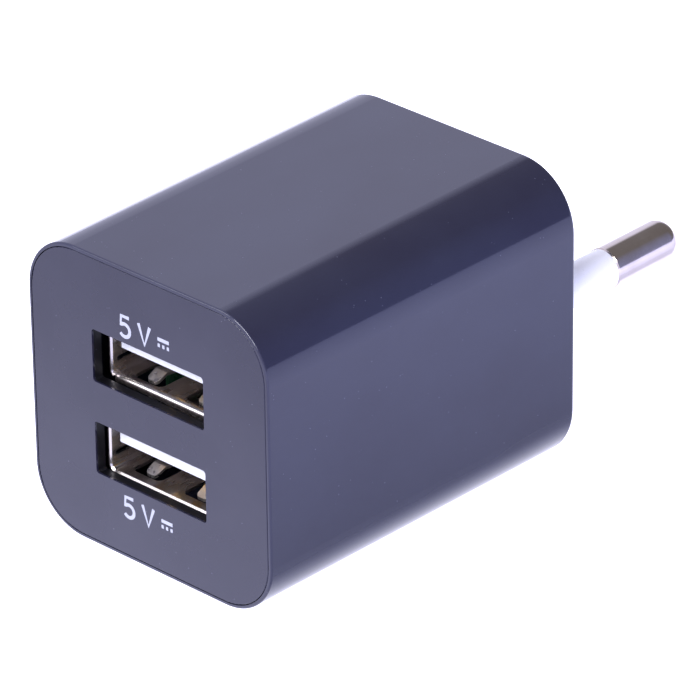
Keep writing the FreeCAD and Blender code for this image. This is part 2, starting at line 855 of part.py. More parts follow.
def make_main_board(lead_places):
    """Board along the floor, with three tabs into the USB board and a hole for each lead."""
    plate = box("main_board_plate", ("-board_half_width", "-usb_board_rear", "board_bottom"),
                ("2 * board_half_width", "usb_board_rear - board_rear", "board_thickness"))
    tabs = [
        box("main_board_tab_%d" % number,
            ("%d * board_tab_pitch - board_tab_width / 2" % column,
             "-(usb_board_front + board_tab_reach)", "board_bottom"),
            ("board_tab_width", "board_thickness + board_tab_reach", "board_thickness"))
        for number, column in enumerate((-1, 0, 1), start=1)
    ]
    holes = [
        rod("main_board_hole_%d" % number, (x, y, "board_bottom"),
            "lead_radius + slot_clearance", "board_thickness")
        for number, (x, y) in enumerate(lead_places, start=1)
    ]
    return cut("main_board", fuse("main_board_outline", [plate] + tabs), holes)


def make_board_joint_solder():
    """A fillet of solder along each tab, in the corner between the two boards."""
    fillets = []
    for number, column in enumerate((-1, 0, 1), start=1):
        body = new_body("board_joint_solder_%d" % number)
        profile = sketch_on(body, "YZ_Plane")
        draw_polygon(profile, [
            ("-usb_board_rear", "board_bottom"),
            ("-usb_board_rear", "board_bottom - solder_leg"),
            ("-usb_board_rear + solder_leg", "board_bottom"),
        ])
        pad(body, profile, "board_tab_width", symmetric=True)
        fillets.append(place(body, x="%d * board_tab_pitch" % column))
    return group("board_joint_solder", fillets)


# ---- leads and their solder -----------------------------------------------------------

def pair_across(x, y, pitch):
    return [("%s - %s / 2" % (x, pitch), y), ("%s + %s / 2" % (x, pitch), y)]


def pair_along(x, y, pitch):
    return [(x, "%s - %s / 2" % (y, pitch)), (x, "%s + %s / 2" % (y, pitch))]


def capacitor_lead_places():
    """Where the upright capacitors' leads go through the main board."""
    places = []
    places += pair_across("mains_capacitor_x", "rear_mains_capacitor_y", "mains_lead_pitch")
    places += pair_across("mains_capacitor_x", "front_mains_capacitor_y", "mains_lead_pitch")
    places += pair_across("left_output_capacitor_x", "output_capacitor_y", "output_lead_pitch")
    places += pair_across("right_output_capacitor_x", "output_capacitor_y", "output_lead_pitch")
    return places


def axial_lead_places():
    """Where the upright resistor's and choke's leads go through the main board."""
    places = []
    for part in ("resistor", "choke"):
        places.append((part + "_x", "axial_y"))
        places.append(("%s_x - %s_lead_offset" % (part, part), "axial_y"))
    return places


def transformer_pin_places():
    places = []
    for side in (-1, 1):
        y = "transformer_y + %d * (bobbin_depth - bobbin_foot) / 2" % side
        for column in (-1, 0, 1):
            places.append(("transformer_x + %d * transformer_pin_pitch" % column, y))
    return places


def safety_lead_places():
    return pair_along("safety_lead_x", "safety_capacitor_y", "safety_lead_pitch")


def make_straight_leads(name, places, rise="0"):
    """Leads from below the main board to a height above it."""
    return [
        rod("%s_%d" % (name, number), (x, y, "board_bottom - lead_reach"), "lead_radius",
            "board_thickness + lead_reach + %s" % rise)
        for number, (x, y) in enumerate(places, start=1)
    ]


def make_solder_joints(lead_places):
    """A cone of solder round each lead under the main board."""
    joints = []
    for number, (x, y) in enumerate(lead_places, start=1):
        name = "solder_joints_%d" % number
        cone = doc.addObject("Part::Cone", name + "_cone")
        bind(cone, {"Radius1": "solder_tip", "Radius2": "solder_base", "Height": "solder_height"})
        bottom = "board_bottom - solder_height"
        place(cone, x, y, bottom)
        lead = rod(name + "_lead", (x, y, bottom), "lead_radius", "solder_height")
        joints.append(cut(name, cone, [lead]))
    return group("solder_joints", joints)


# ---- transformer ----------------------------------------------------------------------

def centred_box(name, width, depth, bottom, height):
    """A block about the transformer's upright centre line."""
    corner = ("transformer_x - (%s) / 2" % width, "transformer_y - (%s) / 2" % depth, bottom)
    return box(name, corner, (width, depth, height))


def make_transformer_core():
    """Two ferrite E-halves that meet half-way up."""
    window_gap = "(core_width - 2 * core_outer_leg - core_middle_leg) / 2"
    halves = []
    for name, bottom, window_low in (
            ("lower", "core_bottom", "window_bottom"),
            ("upper", "core_bottom + core_height / 2", "core_bottom + core_height / 2")):
        half = centred_box("transformer_core_%s_block" % name, "core_width", "core_thickness",
                           bottom, "core_height / 2")
        windows = [
            box("transformer_core_%s_window_%s" % (name, side_name),
                (left, "transformer_y - core_thickness / 2", window_low),
                (window_gap, "core_thickness", "core_window / 2"))
            for side_name, left in (
                ("left", "transformer_x - core_width / 2 + core_outer_leg"),
                ("right", "transformer_x + core_middle_leg / 2"))
        ]
        halves.append(cut("transformer_core_" + name, half, windows))
    return group("transformer_core", halves)


def make_transformer_bobbin():
    """Plastic former: a tube round the middle leg, two flanges and two feet."""
    hole_width = "core_middle_leg + 2 * bobbin_clearance"
    hole_depth = "core_thickness + 2 * bobbin_clearance"
    tube = centred_box("transformer_bobbin_tube", hole_width + " + 2 * bobbin_wall",
                       hole_depth + " + 2 * bobbin_wall", "window_bottom", "core_window")
    flanges = [
        centred_box("transformer_bobbin_flange_%d" % number, "bobbin_width", "bobbin_depth",
                    bottom, "bobbin_wall")
        for number, bottom in enumerate(
            ("window_bottom", "window_bottom + core_window - bobbin_wall"), start=1)
    ]
    feet = [
        box("transformer_bobbin_foot_%d" % number,
            ("transformer_x - bobbin_width / 2",
             "transformer_y + %d * (bobbin_depth - bobbin_foot) / 2 - bobbin_foot / 2" % side,
             "board_top"),
            ("bobbin_width", "bobbin_foot", "window_bottom - board_top"))
        for number, side in enumerate((-1, 1), start=1)
    ]
    hole = centred_box("transformer_bobbin_hole", hole_width, hole_depth,
                       "window_bottom", "core_window")
    outside = fuse("transformer_bobbin_outside", [tube] + flanges + feet)
    return cut("transformer_bobbin", outside, [hole])


def make_transformer_winding():
    """Taped copper winding between the bobbin's flanges."""
    body = new_body("transformer_winding")
    wall = "2 * (bobbin_clearance + bobbin_wall)"
    bottom = "window_bottom + bobbin_wall"
    height = "core_window - 2 * bobbin_wall"
    outline = sketch_on(body, "XY_Plane", x="transformer_x", y="transformer_y", offset=bottom)
    draw_rounded_rectangle(outline, "bobbin_width - 2 * winding_inset",
                           "bobbin_depth - 2 * winding_inset", "2 * bobbin_wall")
    draw_rectangle(outline, "-(core_middle_leg + %s) / 2" % wall, "-(core_thickness + %s) / 2" % wall,
                   "(core_middle_leg + %s) / 2" % wall, "(core_thickness + %s) / 2" % wall)
    pad(body, outline, height)
    return body


# ---- other components -----------------------------------------------------------------

def make_round_part(name, role, radius, length, edge_radius, end_axes):
    """A cylinder along a plane's normal, with rounded ends given as (axis, place) pairs."""
    body = new_body(name)
    outline = sketch_on(body, role)
    draw_circle(outline, radius)
    pad(body, outline, length)
    for axis, place_text in end_axes:
        round_edges(body, axis, place_text, edge_radius)
    return body


def make_can(name, x, y, radius, height):
    """Electrolytic capacitor: a can with a rolled groove near its foot and a rounded top."""
    can = make_round_part(name + "_can", "XY_Plane", radius, height, "can_edge_radius",
                          [("Z", height)])
    groove = doc.addObject("Part::Torus", name + "_groove")
    bind(groove, {"Radius1": radius + " + can_groove_radius / 2", "Radius2": "can_groove_radius"})
    place(groove, z="can_groove_height")
    return place(cut(name, can, [groove]), x, y, "board_top")


def make_capacitors():
    mains = ("mains_capacitor_radius", "mains_capacitor_height")
    output = ("output_capacitor_radius", "output_capacitor_height")
    return [
        make_can("rear_mains_capacitor", "mains_capacitor_x", "rear_mains_capacitor_y", *mains),
        make_can("front_mains_capacitor", "mains_capacitor_x", "front_mains_capacitor_y", *mains),
        make_can("left_output_capacitor", "left_output_capacitor_x", "output_capacitor_y", *output),
        make_can("right_output_capacitor", "right_output_capacitor_x", "output_capacitor_y", *output),
    ]


def make_safety_capacitor():
    """Disc capacitor on edge beside the transformer."""
    disc = make_round_part("safety_capacitor", "YZ_Plane", "safety_capacitor_radius",
                           "safety_capacitor_thickness", "safety_capacitor_edge",
                           [("X", "0"), ("X", "safety_capacitor_thickness")])
    return place(disc, "safety_capacitor_x - safety_capacitor_thickness / 2", "safety_capacitor_y",
                 "board_top + safety_capacitor_lift + safety_capacitor_radius")


def make_safety_leads(disc):
    """The disc's two leads, which end on its rim."""
    rise = "safety_capacitor_lift + safety_capacitor_radius / 2"
    leads = make_straight_leads("safety_lead", safety_lead_places(), rise)
    return [cut(lead.Name + "_trimmed", lead, [disc]) for lead in leads]


def make_axial_part(name, part):
    """Body of an axial component that stands on end."""
    body = make_round_part(name, "XY_Plane", part + "_radius", part + "_length",
                           "axial_edge_radius", [("Z", "0"), ("Z", part + "_length")])
    return place(body, part + "_x", "axial_y", "board_top + axial_lift")


def make_axial_leads():
    """Each upright part's straight lower lead, and the upper one that bends over and down."""
    leads = []
    for part in ("resistor", "choke"):
        top = "board_top + axial_lift + %s_length" % part
        bend_radius = "%s_lead_offset / 2" % part
        leads.append(rod(part + "_lower_lead", (part + "_x", "axial_y", "board_bottom - lead_reach"),
                         "lead_radius", "board_thickness + lead_reach + axial_lift"))
        rise = rod(part + "_upper_rise", (part + "_x", "axial_y", top), "lead_radius", "axial_lift")
        bend = doc.addObject("Part::Torus", part + "_upper_bend")
        bind(bend, {"Radius1": bend_radius, "Radius2": "lead_radius"})
        bend.Angle3 = 180
        place(bend, "%s_x - %s" % (part, bend_radius), "axial_y", top + " + axial_lift",
              turn=FreeCAD.Rotation(FreeCAD.Vector(1, 0, 0), 90))
        fall = rod(part + "_upper_fall",
                   ("%s_x - %s_lead_offset" % (part, part), "axial_y", "board_bottom - lead_reach"),
                   "lead_radius",
                   "board_thickness + lead_reach + 2 * axial_lift + %s_length" % part)
        leads.append(fuse(part + "_upper_lead", [rise, bend, fall]))
    return group("axial_leads", leads)


def hang_box(name, x, y, size):
    """A block under the main board, centred on a place."""
    length, width, height = size
    return box(name, ("%s - (%s) / 2" % (x, length), "%s - (%s) / 2" % (y, width),
                      "board_bottom - (%s)" % height), size)


def make_chip_leads():
    """Flat leads beside the controller, the bridge and the diode."""
    leads = []

    def add(x, y, length, width):
        name = "chip_lead_%d" % (len(leads) + 1)
        leads.append(hang_box(name, x, y, (length, width, "chip_lead_thickness")))

    for side in (-1, 1):
        for step in (-1.5, -0.5, 0.5, 1.5):
            add("transformer_x + %s * chip_lead_pitch" % step,
                "transformer_y + %d * (controller_width + chip_lead_length) / 2" % side,
                "chip_lead_width", "chip_lead_length")
        for step in (-1, 1):
            add("bridge_x + %s * chip_lead_pitch" % step,
                "bridge_y + %d * (bridge_width + chip_lead_length) / 2" % side,
                "chip_lead_width", "chip_lead_length")
        add("diode_x + %d * (diode_length + chip_lead_length) / 2" % side, "diode_y",
            "chip_lead_length", "diode_width / 2")
    return group("chip_leads", leads)


def make_passives(name, places, size):
    """A row of chip resistors or capacitors under the main board."""
    parts = [hang_box("%s_%d" % (name, number), x, y, size)
             for number, (x, y) in enumerate(places, start=1)]
    return group(name, parts)


def make_small_parts():
    """Everything under the main board and on the back of the USB board."""
    resistor = ("passive_length", "passive_width", "passive_height")
    ceramic = ("ceramic_length", "ceramic_width", "ceramic_height")
    bridge = hang_box("bridge_rectifier", "bridge_x", "bridge_y",
                      ("bridge_length", "bridge_width", "bridge_height"))
    controller = hang_box("controller_chip", "transformer_x", "transformer_y",
                          ("controller_length", "controller_width", "controller_height"))
    diode = hang_box("output_diode", "diode_x", "diode_y",
                     ("diode_length", "diode_width", "diode_height"))
    charge_chip = box("charge_control_chip",
                      ("-charge_chip_width / 2", "-usb_board_rear",
                       "charge_chip_z - charge_chip_height / 2"),
                      ("charge_chip_width", "charge_chip_thickness", "charge_chip_height"))
    return [
        bridge,
        controller,
        diode,
        charge_chip,
        make_chip_leads(),
        make_passives("chip_resistors", RESISTOR_PLACES, resistor),
        make_passives("chip_capacitors", CERAMIC_PLACES, ceramic),
    ]


def make_insulation_sheet():
    """Plastic sheet on the housing's floor, under the soldered side of the main board."""
    return box("insulation_sheet",
               ("-sheet_width / 2", "-(rear_wall + sheet_gap + sheet_length)", "-cavity_half"),
               ("sheet_width", "sheet_length", "sheet_thickness"))


# ---- assembly -------------------------------------------------------------------------

def make_charger():
    """Build every node and return them."""
    nodes = [make_housing_shell(), make_front_plate()]
    for side_name, side in (("left", -1), ("right", 1)):
        nodes.append(make_pin(side_name, side))
        nodes.append(make_pin_sleeve(side_name, side))
        nodes.append(make_pin_contact(side_name, side))
    nodes += make_receptacle("upper", 1, make_rolled_port_shell, "0")
    nodes += make_receptacle("lower", -1, make_port_shell, "lower_port_standoff")
    lead_places = (capacitor_lead_places() + axial_lead_places() + transformer_pin_places()
                   + safety_lead_places())
    disc = make_safety_capacitor()
    capacitor_leads = make_straight_leads("capacitor_lead", capacitor_lead_places())
    nodes += [
        make_usb_board(),
        make_main_board(lead_places),
        make_board_joint_solder(),
        make_solder_joints(lead_places),
        make_transformer_core(),
        make_transformer_bobbin(),
        make_transformer_winding(),
        group("transformer_pins", make_straight_leads("transformer_pin", transformer_pin_places())),
        disc,
        group("capacitor_leads", capacitor_leads + make_safety_leads(disc)),
        make_axial_part("fusible_resistor", "resistor"),
        make_axial_part("input_choke", "choke"),
        make_axial_leads(),
        make_insulation_sheet(),
    ]
    nodes += make_capacitors()
    nodes += make_small_parts()
    return nodes


def check_and_export(nodes):
    """Stop on any failed object or bad shape, then write one STEP file for each node."""
    doc.recompute()
    for thing in doc.Objects:
        if "Invalid" in thing.State or "Error" in thing.State:
            raise RuntimeError("%s is %s" % (thing.Name, thing.State))
    for node in nodes:
        if node.Shape.isNull() or not node.Shape.isValid():
            raise RuntimeError("%s has no valid shape" % node.Label)
    os.makedirs("parts", exist_ok=True)
    for node in nodes:
        node.Shape.exportStep("parts/%s.step" % node.Label)
        print("%-26s %2d solids %9.2f mm3" % (node.Label, len(node.Shape.Solids), node.Shape.Volume))


check_and_export(make_charger())
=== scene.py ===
"""Looks of the twin-port USB wall charger: finishes, voltage signs, studio and camera."""

import math

import bmesh
import bpy
from mathutils import Matrix, Vector


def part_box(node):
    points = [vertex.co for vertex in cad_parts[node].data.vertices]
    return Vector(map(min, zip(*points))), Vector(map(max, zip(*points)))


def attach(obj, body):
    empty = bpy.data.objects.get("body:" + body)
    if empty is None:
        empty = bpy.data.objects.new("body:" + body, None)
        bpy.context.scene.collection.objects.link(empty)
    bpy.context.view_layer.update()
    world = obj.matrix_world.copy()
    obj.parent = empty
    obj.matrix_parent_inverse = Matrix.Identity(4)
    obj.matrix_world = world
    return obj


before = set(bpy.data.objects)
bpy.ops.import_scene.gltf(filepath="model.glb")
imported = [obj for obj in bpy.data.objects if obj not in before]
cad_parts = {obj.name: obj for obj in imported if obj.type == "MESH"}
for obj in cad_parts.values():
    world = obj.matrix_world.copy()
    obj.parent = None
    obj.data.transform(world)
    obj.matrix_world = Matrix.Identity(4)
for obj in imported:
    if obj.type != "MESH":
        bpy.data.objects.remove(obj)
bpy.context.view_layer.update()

MM = 0.001

housing_low, housing_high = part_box("housing_shell")
plate_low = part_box("front_plate")[0]
BODY_CENTRE = Vector((0.0, (housing_low.y + housing_high.y) / 2, 0.0))
FRONT = plate_low.y
FRONT_MM = FRONT / MM


# ---- material graphs ------------------------------------------------------------------

# Sockets of the Mix node when it mixes colours. Its names repeat, so numbers are used.
MIX_SHARE, MIX_FIRST, MIX_SECOND = 0, 6, 7
MIX_RESULT = 2
# Most noise lies between these two.
NOISE_LOW, NOISE_HIGH = 0.3, 0.7
# The wave texture makes 10 / pi waves in each unit, so this scale makes one.
ONE_WAVE = math.pi / 10


def rgb(red, green, blue):
    return (red, green, blue, 1.0)


class Look:
    """One procedural material. Sizes are in millimetres."""

    def __init__(self, name):
        self.material = bpy.data.materials.new(name + "_look")
        self.material.use_nodes = True
        self.tree = self.material.node_tree
        self.shader = self.tree.nodes["Principled BSDF"]
        self.place = self.node("ShaderNodeTexCoord").outputs["Object"]

    def node(self, kind, **settings):
        node = self.tree.nodes.new(kind)
        for name, value in settings.items():
            setattr(node, name, value)
        return node

    def feed(self, socket, value):
        """Links an output to the socket, or sets the socket to a plain value."""
        if isinstance(value, bpy.types.NodeSocket):
            self.tree.links.new(value, socket)
        else:
            socket.default_value = value

    def finish(self, **values):
        """Sets the shader's sockets by name, with _ for each space."""
        for name, value in values.items():
            self.feed(self.shader.inputs[name.replace("_", " ")], value)
        return self.material

    def scaled(self, size):
        """The place on the object, in steps of size or of (x, y, z)."""
        sizes = size if isinstance(size, tuple) else (size,) * 3
        scaled = self.node("ShaderNodeVectorMath", operation="MULTIPLY")
        self.feed(scaled.inputs[0], self.place)
        scaled.inputs[1].default_value = [1 / (step * MM) for step in sizes]
        return scaled.outputs["Vector"]

    def noise(self, size, detail=3.0):
        """Noise from 0 to 1 with lumps of that size."""
        noise = self.node("ShaderNodeTexNoise")
        noise.inputs["Scale"].default_value = 1.0
        noise.inputs["Detail"].default_value = detail
        self.feed(noise.inputs["Vector"], self.scaled(size))
        return noise.outputs["Fac"]

    def cells(self, size):
        """Distance to the nearest of many scattered points."""
        cells = self.node("ShaderNodeTexVoronoi", feature="F1")
        cells.inputs["Scale"].default_value = 1.0
        self.feed(cells.inputs["Vector"], self.scaled(size))
        return cells.outputs["Distance"]

    def waves(self, pitch, axis, distortion=0.0):
        """Even ridges across an axis."""
        waves = self.node("ShaderNodeTexWave", bands_direction=axis)
        waves.inputs["Scale"].default_value = ONE_WAVE
        waves.inputs["Distortion"].default_value = distortion
        waves.inputs["Detail"].default_value = 1.0
        self.feed(waves.inputs["Vector"], self.scaled(pitch))
        return waves.outputs["Fac"]

    def along(self, axis):
        """Place along X, Y or Z, in millimetres."""
        parts = self.node("ShaderNodeSeparateXYZ")
        self.feed(parts.inputs[0], self.scaled(1.0))
        return parts.outputs[axis]

    def facing_front(self, start, full):
        """0 to 1 as the surface turns to face the ports' side, from start to full.

        Both are the share of the surface's normal that points to the front.
        """
        parts = self.node("ShaderNodeSeparateXYZ")
        coordinates = self.node("ShaderNodeTexCoord")
        self.feed(parts.inputs[0], coordinates.outputs["Normal"])
        return self.ranged(parts.outputs["Y"], -start, -full)

    def maths(self, operation, *values):
        """One step of arithmetic on numbers or outputs."""
        maths = self.node("ShaderNodeMath", operation=operation)
        for socket, value in zip(maths.inputs, values):
            self.feed(socket, value)
        return maths.outputs[0]

    def ranged(self, value, low, high, to_low=0.0, to_high=1.0):
        """The value's share of low to high, kept between to_low and to_high."""
        ranged = self.node("ShaderNodeMapRange")
        for socket, number in zip(ranged.inputs, (value, low, high, to_low, to_high)):
            self.feed(socket, number)
        return ranged.outputs[0]

    def stretched(self, noise, to_low=0.0, to_high=1.0):
        """Noise, which mostly lies in the middle of its range, spread over to_low to to_high."""
        return self.ranged(noise, NOISE_LOW, NOISE_HIGH, to_low, to_high)

    def spots(self, spacing, outer, inner, strength):
        """Scattered round spots: 0 past the outer radius, and strength inside the inner one.

        The radii are shares of the spacing.
        """
        return self.ranged(self.cells(spacing), outer, inner, 0.0, strength)

    def between(self, value, low, high, edge=0.05):
        """1 from low to high, and 0 outside."""
        above = self.ranged(value, low - edge, low + edge)
        below = self.ranged(value, high - edge, high + edge, 1.0, 0.0)
        return self.maths("MULTIPLY", above, below)

    def mixed(self, share, first, second):
        """The first colour at share 0, the second at share 1."""
        mix = self.node("ShaderNodeMix", data_type="RGBA")
        self.feed(mix.inputs[MIX_SHARE], share)
        self.feed(mix.inputs[MIX_FIRST], first)
        self.feed(mix.inputs[MIX_SECOND], second)
        return mix.outputs[MIX_RESULT]

    def bumped(self, height, depth, normal=None):
        """A normal for relief of that depth."""
        bump = self.node("ShaderNodeBump")
        bump.inputs["Distance"].default_value = depth * MM
        self.feed(bump.inputs["Height"], height)
        if normal is not None:
            self.feed(bump.inputs["Normal"], normal)
        return bump.outputs["Normal"]


# The openings' walls are matt and painted darker as shade inside the opening, from CUT_START behind
# the front, over a CUT_EDGE wide blend.
CUT_START = 0.15
CUT_EDGE = 0.1
# Painted shade: the near-black colour of the openings' walls.
CUT_WALL_SHADE = rgb(0.002, 0.002, 0.003)
CUT_ROUGHNESS = 0.38
DUST = rgb(0.16, 0.17, 0.24)
PLASTIC_IOR = 1.5
PLASTIC_SPECULAR = 0.32
PLASTIC_TINT = rgb(0.92, 0.94, 1.0)
PEEL_DEPTH = 0.0009
SCUFF_DEPTH = 0.0015


def gloss_plastic(name, deep, pale, scuffs, cut_depth=None):
    """Polished dark plastic: faint flow marks, dust specks, hairline scuffs.

    Behind cut_depth, measured from the front in millimetres, it is matt, as in the walls of a
    machined opening, and darker there as painted shade inside the opening.
    """
    look = Look(name)
    flow = look.ranged(look.noise((9.0, 14.0, 9.0), 4.0), 0.35, 0.65)
    body = look.mixed(flow, deep, pale)
    matt_and_shaded = 0.0
    if cut_depth is not None:
        start = FRONT_MM + cut_depth
        matt_and_shaded = look.ranged(look.along("Y"), start, start + CUT_EDGE)
        # Painted shade: darkens the opening's walls behind the front; the same share makes them
        # matt.
        body = look.mixed(matt_and_shaded, body, CUT_WALL_SHADE)
    specks = look.spots(0.55, 0.10, 0.06, 0.35)
    rare = look.ranged(look.noise(1.3, 1.0), 0.58, 0.66)
    dust = look.maths("MULTIPLY", specks, rare)
    colour = look.mixed(dust, body, DUST)
    hairline = look.ranged(look.noise((0.12, 6.0, 2.5), 2.0), 0.62, 0.74, 0.0, scuffs)
    crossing = look.ranged(look.noise((5.0, 0.15, 3.0), 2.0), 0.64, 0.76, 0.0, scuffs)
    worn = look.maths("ADD", hairline, crossing)
    smudge = look.stretched(look.noise(6.5, 5.0), 0.055, 0.12)
    worn_rough = look.maths("ADD", smudge, look.maths("MAXIMUM", worn, dust))
    rough = look.maths("MAXIMUM", worn_rough, look.maths("MULTIPLY", matt_and_shaded, CUT_ROUGHNESS))
    peel = look.bumped(look.noise(1.1, 2.0), PEEL_DEPTH)
    normal = look.bumped(look.maths("ADD", worn, dust), SCUFF_DEPTH, peel)
    return look.finish(Base_Color=colour, Roughness=rough, Normal=normal, IOR=PLASTIC_IOR,
                       Specular_IOR_Level=PLASTIC_SPECULAR, Specular_Tint=PLASTIC_TINT)


def gloss_black_housing(name):
    deep = rgb(0.014, 0.014, 0.028)
    pale = rgb(0.017, 0.018, 0.034)
    return gloss_plastic(name, deep, pale, scuffs=0.05)


def gloss_black_plate(name):
    deep = rgb(0.010, 0.010, 0.022)
    pale = rgb(0.013, 0.013, 0.026)
    return gloss_plastic(name, deep, pale, scuffs=0.03, cut_depth=CUT_START)


RIDGE_DEPTH = 0.0004
STREAK_DEPTH = 0.0012


def plated(name, colour, shade, rings, streaks, rough):
    """Bright plated metal: rings or streaks from its making, and a cloudy tarnish."""
    look = Look(name)
    cloud = look.ranged(look.noise(2.2, 5.0), 0.3, 0.75)
    fine = look.noise(streaks, 3.0)
    base = look.mixed(cloud, colour, shade)
    streaked = look.mixed(look.ranged(fine, 0.45, 0.8, 0.0, 0.35), base, shade)
    spots = look.spots(0.8, 0.09, 0.03, 0.5)
    tarnished = look.mixed(spots, streaked, shade)
    spread = look.stretched(fine, rough, rough * 1.9)
    roughness = look.maths("ADD", spread, look.maths("MULTIPLY", cloud, rough / 2))
    ridges = look.bumped(look.waves(rings, "Y"), RIDGE_DEPTH)
    normal = look.bumped(fine, STREAK_DEPTH, ridges)
    return look.finish(Base_Color=tarnished, Roughness=roughness, Normal=normal, Metallic=1.0)


def nickel_pin(name):
    return plated(name, rgb(0.48, 0.43, 0.40), rgb(0.41, 0.36, 0.32),
                  rings=0.12, streaks=(0.25, 5.0, 0.25), rough=0.09)


# How far behind the front painted shade starts to darken the shells' bright sheet to brown, and
# where it is fully brown.
BROWN_SHADE_START = 1.9
BROWN_SHADE_FULL = 3.6


def nickel_steel_shell(name):
    """Folded sheet: bright at the mouth, darker and browner deeper in from painted shade, and dull
    on its sheared edge.
    """
    look = Look(name)
    cloud = look.noise(1.8, 4.0)
    brushed = look.noise((0.6, 5.0, 0.6), 3.0)
    # Painted shade: the sheet turns darker and browner the deeper it lies in the port.
    deep = look.ranged(look.along("Y"), FRONT_MM + BROWN_SHADE_START, FRONT_MM + BROWN_SHADE_FULL)
    bright = look.mixed(look.ranged(brushed, 0.35, 0.7),
                        rgb(0.78, 0.74, 0.70), rgb(0.64, 0.60, 0.56))
    shaded_brown = look.mixed(look.stretched(cloud),
                       rgb(0.62, 0.55, 0.53), rgb(0.46, 0.40, 0.38))
    spots = look.spots(0.8, 0.09, 0.03, 0.4)
    sheet = look.mixed(spots, look.mixed(deep, bright, shaded_brown), rgb(0.22, 0.18, 0.16))
    # Painted shade: faces turned partly to the front, the bevels and the rolled lip, are darkened
    # to dim their highlight.
    shade_on_bevels = look.mixed(look.facing_front(0.50, 0.65), sheet, rgb(0.44, 0.41, 0.40))
    sheared = look.facing_front(0.85, 0.95)
    torn = look.stretched(look.noise(0.25, 3.0))
    edge = look.mixed(torn, rgb(0.16, 0.14, 0.14), rgb(0.05, 0.04, 0.04))
    colour = look.mixed(sheared, shade_on_bevels, edge)
    polish = look.maths("ADD", look.stretched(brushed, 0.16, 0.26),
                        look.maths("MULTIPLY", deep, 0.08))
    rough = look.maths("ADD", polish, look.maths("MULTIPLY", sheared, 0.25))
    normal = look.bumped(brushed, 0.0006, look.bumped(cloud, 0.001))
    return look.finish(Base_Color=colour, Roughness=rough, Normal=normal, Metallic=1.0)


def spring_tab(name):
    return plated(name, rgb(0.80, 0.77, 0.76), rgb(0.56, 0.52, 0.50),
                  rings=0.5, streaks=(0.3, 1.5, 0.3), rough=0.20)


def gilt_contact(name):
    return plated(name, rgb(0.86, 0.62, 0.26), rgb(0.62, 0.40, 0.14),
                  rings=0.25, streaks=(0.06, 1.5, 0.3), rough=0.16)


def brass_blade(name):
    return plated(name, rgb(0.74, 0.56, 0.27), rgb(0.46, 0.31, 0.12),
                  rings=0.3, streaks=(0.1, 0.4, 2.5), rough=0.22)


def tinned_wire(name):
    return plated(name, rgb(0.70, 0.70, 0.69), rgb(0.48, 0.48, 0.47),
                  rings=0.2, streaks=(0.08, 0.08, 1.2), rough=0.2)


def solder(name):
    """Frozen metal: bright flanks with a crystalline, slightly grainy skin."""
    look = Look(name)
    grain = look.cells(0.16)
    cloud = look.noise(0.7, 4.0)
    colour = look.mixed(look.ranged(cloud, 0.35, 0.7), rgb(0.75, 0.75, 0.74), rgb(0.5, 0.5, 0.5))
    rough = look.ranged(grain, 0.0, 0.7, 0.18, 0.42)
    normal = look.bumped(grain, 0.006, look.bumped(cloud, 0.02))
    return look.finish(Base_Color=colour, Roughness=rough, Normal=normal, Metallic=1.0)


def moulded(name, pale, dark, rough, lump=1.6, grain=0.12, depth=0.004, **extra):
    """Matt or satin moulding: uneven colour, dark specks and a fine-grained skin."""
    look = Look(name)
    cloud = look.noise(lump, 4.0)
    skin = look.noise(grain, 2.0)
    tone = look.mixed(look.stretched(cloud), pale, dark)
    specks = look.spots(lump * 0.6, 0.08, 0.03, 0.45)
    colour = look.mixed(specks, tone, dark)
    spread = look.stretched(skin, rough * 0.8, rough * 1.2)
    roughness = look.maths("ADD", spread, look.stretched(cloud, -0.04, 0.06))
    normal = look.bumped(skin, depth, look.bumped(cloud, depth * 2))
    return look.finish(Base_Color=colour, Roughness=roughness, Normal=normal, **extra)


def white_sleeve(name):
    return moulded(name, rgb(0.95, 0.95, 0.93), rgb(0.91, 0.91, 0.90),
                   rough=0.32, lump=2.4, grain=0.15, depth=0.0015,
                   Subsurface_Weight=0.15, Subsurface_Radius=(1.0, 1.0, 1.0),
                   Subsurface_Scale=0.6 * MM)


def white_insulator(name):
    return moulded(name, rgb(0.43, 0.44, 0.48), rgb(0.39, 0.40, 0.43),
                   rough=0.38, lump=1.8, grain=0.10, depth=0.002)


def black_former(name):
    return moulded(name, rgb(0.030, 0.029, 0.028), rgb(0.015, 0.015, 0.015), rough=0.45)


def black_epoxy(name):
    return moulded(name, rgb(0.026, 0.026, 0.029), rgb(0.013, 0.013, 0.015),
                   rough=0.55, lump=0.9, grain=0.08, depth=0.006)


def chip_resistor_body(name):
    return moulded(name, rgb(0.045, 0.043, 0.045), rgb(0.020, 0.020, 0.022),
                   rough=0.4, lump=0.5, grain=0.06, depth=0.003)


def chip_ceramic(name):
    return moulded(name, rgb(0.42, 0.29, 0.17), rgb(0.30, 0.20, 0.11),
                   rough=0.35, lump=0.6, grain=0.05, depth=0.003)


def ferrite(name):
    return moulded(name, rgb(0.060, 0.058, 0.060), rgb(0.028, 0.027, 0.030),
                   rough=0.6, lump=1.2, grain=0.15, depth=0.012)


def blue_ceramic(name):
    return moulded(name, rgb(0.03, 0.12, 0.42), rgb(0.02, 0.08, 0.30),
                   rough=0.2, lump=1.5, grain=0.5, depth=0.01,
                   Coat_Weight=0.5, Coat_Roughness=0.12)


def green_choke(name):
    return moulded(name, rgb(0.05, 0.20, 0.08), rgb(0.03, 0.12, 0.05),
                   rough=0.3, lump=1.2, grain=0.4, depth=0.01,
                   Coat_Weight=0.3, Coat_Roughness=0.2)


def clear_sheet(name):
    return moulded(name, rgb(0.60, 0.58, 0.50), rgb(0.52, 0.50, 0.42),
                   rough=0.25, lump=5.0, grain=0.8, depth=0.004,
                   Transmission_Weight=0.35)


BAND_COLOURS = (
    rgb(0.30, 0.06, 0.02),
    rgb(0.02, 0.02, 0.02),
    rgb(0.55, 0.25, 0.02),
    rgb(0.5, 0.36, 0.1),
)
# In steps from one band to the next: the lowest band's place, and a band's width.
BAND_START = 1.3
BAND_WIDTH = 0.4


